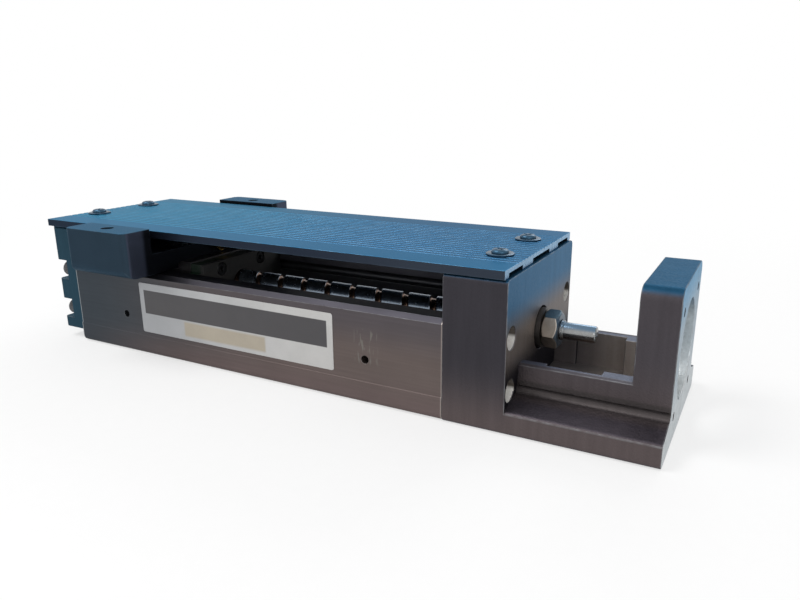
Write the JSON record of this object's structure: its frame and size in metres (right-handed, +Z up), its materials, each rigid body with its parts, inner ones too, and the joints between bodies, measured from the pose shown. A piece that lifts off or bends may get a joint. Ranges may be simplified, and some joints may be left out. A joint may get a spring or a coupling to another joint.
{
  "type": "ball screw linear module",
  "caption": "U-rail linear stage: a ball screw drives a carriage whose table ears pass a flat top cover, with a motor flange and coupling bay at one end.",
  "frame": {"origin": "middle of the module's length, on its centre line, at the level of its mounting face", "axes": "+X along the screw towards the motor flange, +Z up out of the mounting face, +Y to the side away from the name plate"},
  "size_m": [0.2206, 0.086, 0.0471],
  "materials": {
    "rail_steel": "dark chemically blackened carbon steel, fine ground",
    "plate_film": "blank printed film with a dark border band, satin",
    "housing_black": "black anodised casting with bare machined end faces",
    "table_anodised": "black anodised, satin",
    "cover_anodised": "dark anodised extrusion that mirrors a blue sky, bare cut ends",
    "cover_fixings": "dark blued steel",
    "black_screws": "black oxide steel",
    "bright_screws": "bright zinc plated steel",
    "retainer_steel": "ground steel",
    "bearing_steel": "ground and hardened bearing steel",
    "ball_steel": "polished bearing steel",
    "spring_steel": "phosphated steel",
    "nut_steel": "turned steel, dulled by oil",
    "screw_steel": "ground ball screw steel with oil staining",
    "block_steel": "ground steel",
    "damper_rubber": "matt nitrile rubber",
    "seal_rubber": "moulded nitrile rubber",
    "end_plate_resin": "moulded engineering resin",
    "tube_steel": "drawn steel tube",
    "nipple_brass": "turned brass"
  },
  "bodies": {
    "base": {"outer_rail": "rail_steel", "name_plate": "plate_film", "end_housing": "housing_black", "end_housing_screws": "black_screws", "motor_housing": "housing_black", "motor_flange": "housing_black", "motor_housing_screws": "bright_screws", "bearing_retainer": "retainer_steel", "retainer_screws": "black_screws", "front_bearing_outer_rings": "bearing_steel", "front_bearing_balls": "ball_steel", "end_bearing_outer_ring": "bearing_steel", "end_bearing_balls": "ball_steel", "rear_damper": "damper_rubber", "front_damper": "damper_rubber", "top_cover": "cover_anodised", "cover_washers": "cover_fixings", "cover_screws": "cover_fixings"},
    "screw": {"ball_screw": "screw_steel", "lock_nut": "nut_steel", "bearing_collar": "spring_steel", "front_bearing_inner_rings": "bearing_steel", "end_bearing_inner_ring": "bearing_steel", "end_retaining_ring": "spring_steel"},
    "carriage": {"inner_block": "block_steel", "rear_end_plate": "end_plate_resin", "front_end_plate": "end_plate_resin", "rear_seal": "seal_rubber", "front_seal": "seal_rubber", "end_plate_screws": "black_screws", "track_balls_near": "ball_steel", "track_balls_far": "ball_steel", "nut_balls": "ball_steel", "return_tube": "tube_steel", "tube_clamp": "retainer_steel", "tube_clamp_screws": "black_screws", "sub_table": "table_anodised", "sub_table_screws": "black_screws", "grease_nipple": "nipple_brass"}
  },
  "joints": [
    {"name": "carriage_slide", "type": "slide", "parent": "base", "child": "carriage", "axis": [1, 0, 0], "range_m": [-0.0015, 0.0905]},
    {"name": "screw_turn", "type": "hinge", "parent": "base", "child": "screw", "pos_m": [0, 0, 0.022], "axis": [1, 0, 0], "range_deg": [-3266, 62]}
  ],
  "couplings": [
    {"joint": "screw_turn", "follows": "carriage_slide", "rad_per_m": -628.32}
  ]
}
